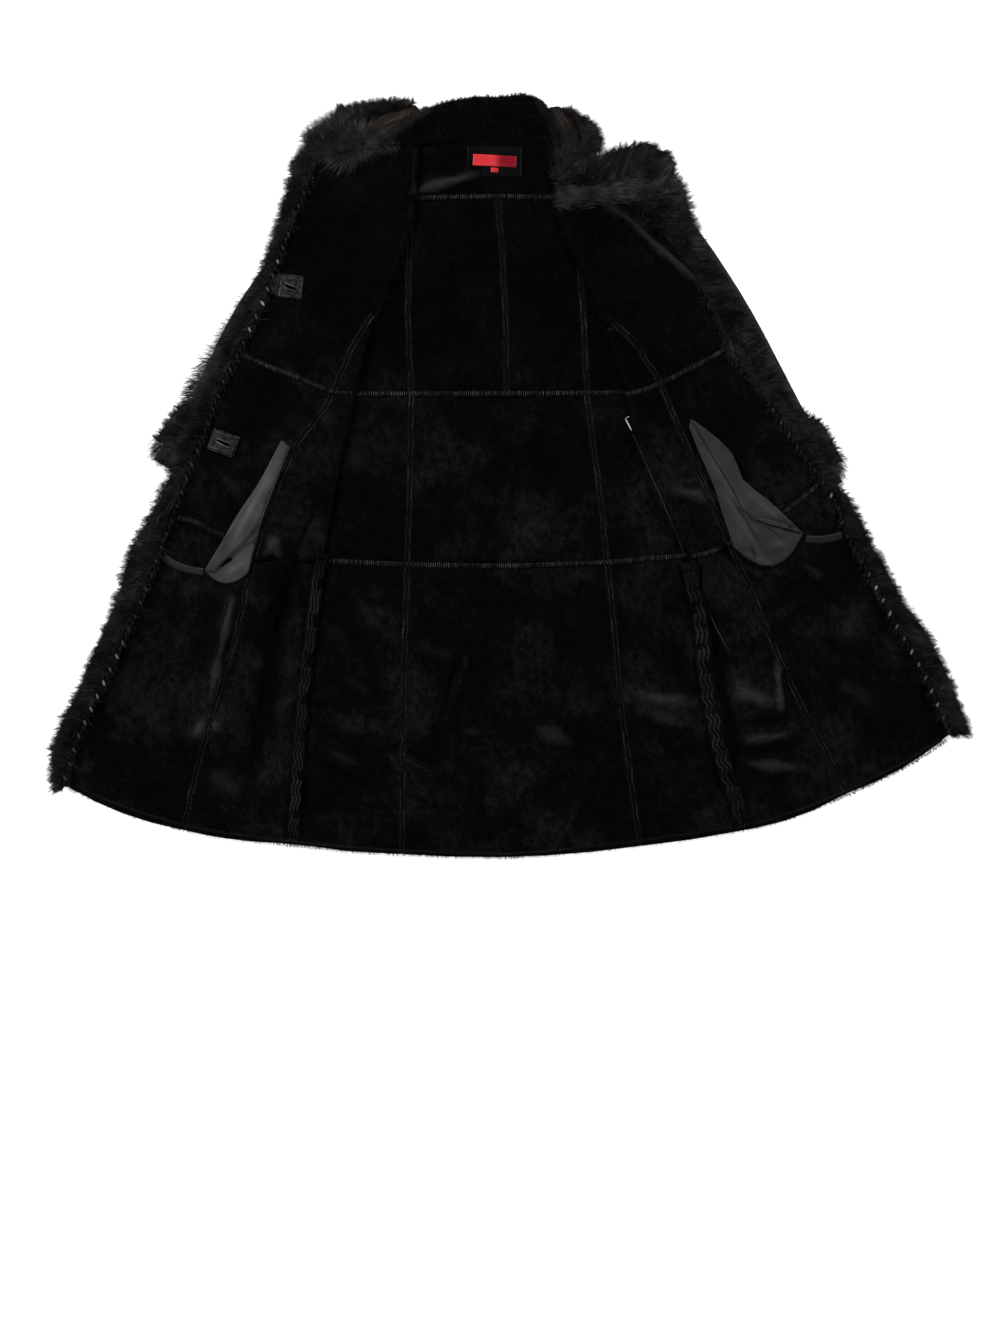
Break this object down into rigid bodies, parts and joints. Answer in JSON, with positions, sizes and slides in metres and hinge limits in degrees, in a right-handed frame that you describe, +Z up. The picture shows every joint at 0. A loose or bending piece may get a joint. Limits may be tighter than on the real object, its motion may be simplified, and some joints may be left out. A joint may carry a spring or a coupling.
{
  "type": "coat",
  "caption": "Long flared black faux shearling coat laid open and flat, lining up, with long fur along fronts, collar and cuffs",
  "frame": {"origin": "on the surface the coat lies on, under the middle of the back middle panel", "axes": "+X across the coat, to the right as seen from above with the collar away; +Y from the hem to the collar; +Z up, away from the surface, out of the lining"},
  "size_m": [1.3791, 1.1402, 0.0418],
  "materials": {
    "pile": "short black faux shearling pile",
    "suede": "brownish black faux suede",
    "fur": "long glossy black faux fur",
    "twill": "charcoal cotton twill",
    "leather": "smooth dark grey",
    "satin": "black satin",
    "label_red": "plain red woven satin",
    "tape": "black woven tape",
    "care": "white printed-label cloth, blank"
  },
  "bodies": {
    "root": {"back_lower": "pile", "back_middle": "pile", "back_side_left_lower": "pile", "back_side_left_middle": "pile", "back_side_left_upper": "pile", "back_side_right_lower": "pile", "back_side_right_middle": "pile", "back_side_right_upper": "pile", "back_upper_left": "pile", "back_upper_right": "pile", "back_yoke": "pile", "buttonhole_lower": "leather", "buttonhole_upper": "leather", "care_label": "care", "collar": "pile", "collar_fur_left": "fur", "collar_fur_right": "fur", "collar_leaf_left": "suede", "collar_leaf_right": "suede", "cuff_fur_left": "fur", "cuff_fur_right": "fur", "front_fur_left": "fur", "front_fur_right": "fur", "front_left_lower": "pile", "front_left_middle": "pile", "front_left_upper": "pile", "front_right_lower": "pile", "front_right_middle": "pile", "front_right_upper": "pile", "front_side_left_lower": "pile", "front_side_left_middle": "pile", "front_side_left_upper": "pile", "front_side_right_lower": "pile", "front_side_right_middle": "pile", "front_side_right_upper": "pile", "neck_label": "label_red", "neck_patch": "satin", "pocket_bag_left": "twill", "pocket_bag_right": "twill", "pocket_lobe_left": "twill", "pocket_lobe_right": "twill", "pocket_tape_left": "tape", "pocket_tape_right": "tape", "side_lap_left": "pile", "side_lap_right": "pile", "size_tab": "label_red", "sleeve_end_left": "suede", "sleeve_end_right": "suede", "sleeve_left": "suede", "sleeve_right": "suede"}
  },
  "joints": []
}
